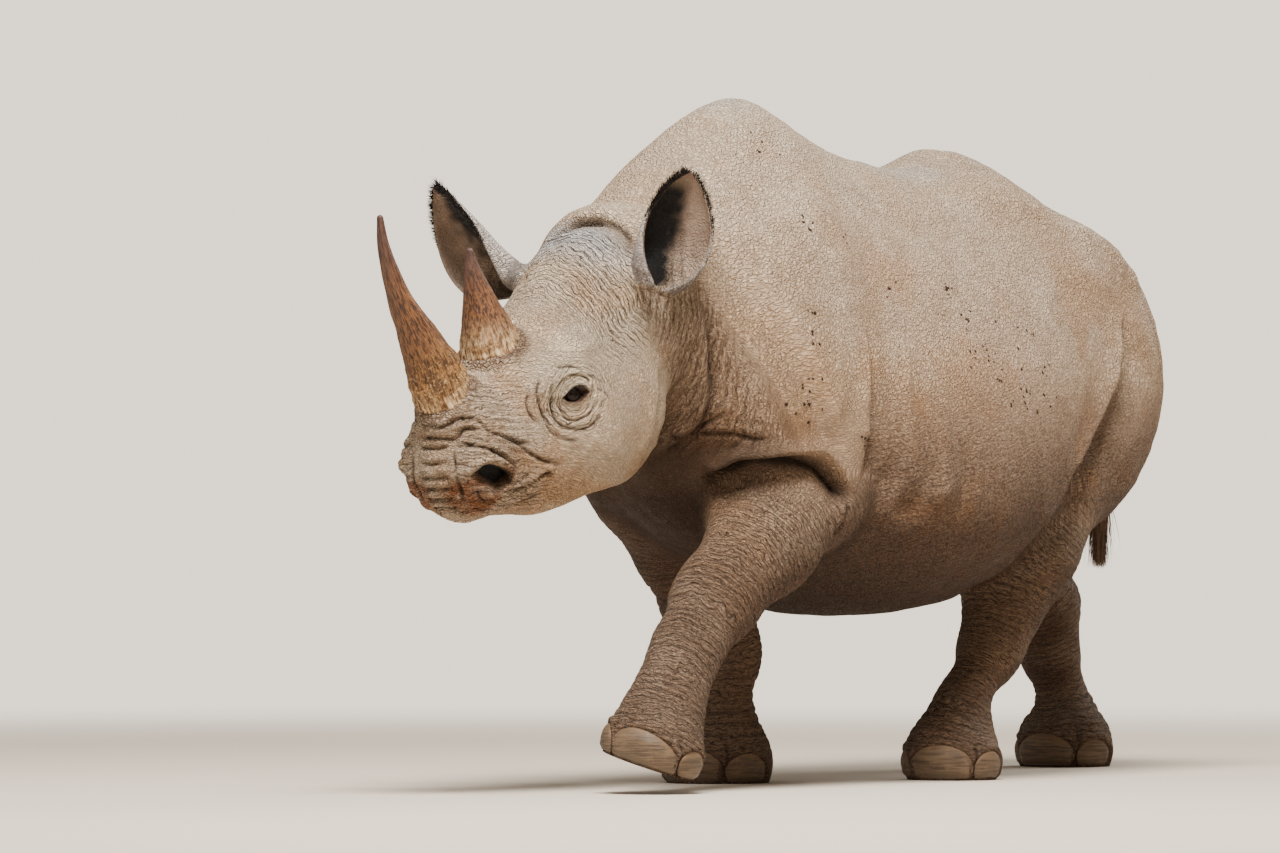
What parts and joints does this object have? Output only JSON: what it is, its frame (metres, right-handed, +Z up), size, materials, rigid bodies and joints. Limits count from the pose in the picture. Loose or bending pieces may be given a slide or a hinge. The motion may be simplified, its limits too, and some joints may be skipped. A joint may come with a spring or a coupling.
{
  "type": "black rhinoceros",
  "caption": "Life-size walking black rhinoceros: heavy barrel on short pillar legs, low head with front and rear horns, hooked upper lip, cupped ears and a thin tufted tail.",
  "frame": {"origin": "on the ground, under the middle of the animal's bounding box", "axes": "+Z up, the animal faces -Y and walks that way, its left side is +X"},
  "size_m": [0.8928, 3.1278, 1.5483],
  "materials": {
    "hide": "dry wrinkled hide, pale above and browner below",
    "horn": "fibrous keratin, ochre at the base and dark at the tip",
    "eye": "wet dark brown eye",
    "hair": "coarse black hair",
    "nail": "ridged grey keratin with a paler cuticle"
  },
  "bodies": {
    "root": {"head": "hide", "jaw": "hide", "ear_left": "hide", "ear_right": "hide", "neck": "hide", "trunk": "hide", "tail": "hide", "leg_front_left": "hide", "leg_front_right": "hide", "leg_hind_left": "hide", "leg_hind_right": "hide", "horn_front": "horn", "horn_rear": "horn", "eye_left": "eye", "eye_right": "eye", "tail_tuft": "hair", "nail_front_left_middle": "nail", "nail_front_left_outer": "nail", "nail_front_left_inner": "nail", "nail_front_right_middle": "nail", "nail_front_right_outer": "nail", "nail_front_right_inner": "nail", "nail_hind_left_middle": "nail", "nail_hind_left_outer": "nail", "nail_hind_left_inner": "nail", "nail_hind_right_middle": "nail", "nail_hind_right_outer": "nail", "nail_hind_right_inner": "nail"}
  },
  "joints": []
}
